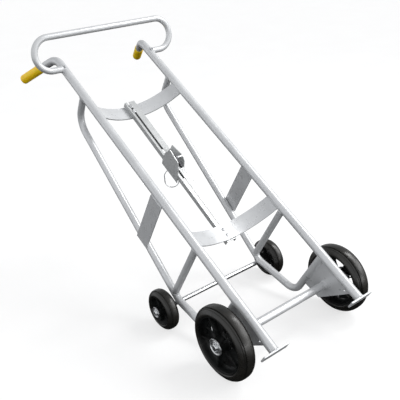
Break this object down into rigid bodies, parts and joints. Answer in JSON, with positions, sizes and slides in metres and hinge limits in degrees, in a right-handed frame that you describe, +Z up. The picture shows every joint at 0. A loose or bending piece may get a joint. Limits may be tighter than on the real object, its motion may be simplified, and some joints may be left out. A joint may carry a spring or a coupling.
{
  "type": "four-wheel drum hand truck",
  "caption": "Tubular steel drum truck lying back on its wheels, with curved cross bars, a sliding chime hook on a centre track, a handle loop and vinyl grips.",
  "frame": {"origin": "centre of the bounding box, on the floor the wheels stand on", "axes": "+X across the truck, +Y from the toe bars back towards the handle, +Z up"},
  "size_m": [0.6428, 1.3772, 0.9903],
  "materials": {
    "frame_paint": "satin silver-grey paint",
    "grip_vinyl": "soft dipped vinyl",
    "tyre_rubber": "solid moulded rubber",
    "wheel_core": "moulded nylon core",
    "plated_steel": "zinc plated",
    "bearing_steel": "ground steel",
    "hook_steel": "satin grey sheet steel",
    "dark_steel": "blackened steel",
    "toe_steel": "satin silver-grey paint"
  },
  "bodies": {
    "frame": {"left_rail": "frame_paint", "right_rail": "frame_paint", "left_grip": "grip_vinyl", "right_grip": "grip_vinyl", "handle_loop": "frame_paint", "left_leg": "frame_paint", "left_strut": "frame_paint", "left_brace": "frame_paint", "right_leg": "frame_paint", "right_strut": "frame_paint", "right_brace": "frame_paint", "upper_cradle": "frame_paint", "lower_cradle": "frame_paint", "left_gusset": "frame_paint", "right_gusset": "frame_paint", "axle_tube": "frame_paint", "main_axle": "plated_steel", "rear_axle": "plated_steel", "left_toe": "toe_steel", "right_toe": "toe_steel", "left_main_spacer": "plated_steel", "left_main_retainer": "plated_steel", "left_rear_spacer": "plated_steel", "left_rear_retainer": "plated_steel", "right_main_spacer": "plated_steel", "right_main_retainer": "plated_steel", "right_rear_spacer": "plated_steel", "right_rear_retainer": "plated_steel", "left_track_angle": "hook_steel", "right_track_angle": "hook_steel", "track_back_strip": "hook_steel", "track_bolts": "plated_steel"},
    "left_main_wheel": {"left_main_tyre": "tyre_rubber", "left_main_core": "wheel_core", "left_main_bearing": "bearing_steel", "left_main_hub_ring": "plated_steel"},
    "left_rear_wheel": {"left_rear_tyre": "tyre_rubber", "left_rear_core": "wheel_core", "left_rear_bearing": "bearing_steel", "left_rear_hub_ring": "plated_steel"},
    "right_main_wheel": {"right_main_tyre": "tyre_rubber", "right_main_core": "wheel_core", "right_main_bearing": "bearing_steel", "right_main_hub_ring": "plated_steel"},
    "right_rear_wheel": {"right_rear_tyre": "tyre_rubber", "right_rear_core": "wheel_core", "right_rear_bearing": "bearing_steel", "right_rear_hub_ring": "plated_steel"},
    "hook_slide": {"hook_saddle": "hook_steel", "hook_pin": "plated_steel", "hook_spring": "plated_steel", "ring_eye": "plated_steel"},
    "hook_pawl": {"hook_pawl": "dark_steel"},
    "pull_ring": {"pull_ring": "plated_steel"}
  },
  "joints": [
    {"name": "left_main_spin", "type": "hinge", "parent": "frame", "child": "left_main_wheel", "pos_m": [-0.2695, -0.52275, 0.127], "axis": [1, 0, 0], "continuous": true},
    {"name": "left_rear_spin", "type": "hinge", "parent": "frame", "child": "left_rear_wheel", "pos_m": [-0.2605, -0.17548, 0.076], "axis": [1, 0, 0], "continuous": true},
    {"name": "right_main_spin", "type": "hinge", "parent": "frame", "child": "right_main_wheel", "pos_m": [0.2695, -0.52275, 0.127], "axis": [1, 0, 0], "continuous": true},
    {"name": "right_rear_spin", "type": "hinge", "parent": "frame", "child": "right_rear_wheel", "pos_m": [0.2605, -0.17548, 0.076], "axis": [1, 0, 0], "continuous": true},
    {"name": "hook_travel", "type": "slide", "parent": "frame", "child": "hook_slide", "axis": [0, 0.8247, 0.5655], "range_m": [-0.22, 0.21]},
    {"name": "pawl_pivot", "type": "hinge", "parent": "hook_slide", "child": "hook_pawl", "pos_m": [-0.008, 0.03024, 0.53026], "axis": [1, 0, 0], "range_deg": [-20, 0], "stiffness_Nm_per_rad": 0.4, "springref_deg": 5.73},
    {"name": "ring_swing", "type": "hinge", "parent": "hook_slide", "child": "pull_ring", "pos_m": [-0.01, 0.06337, 0.4761], "axis": [0.788, -0.6157, 0], "range_deg": [-30, 30]}
  ]
}
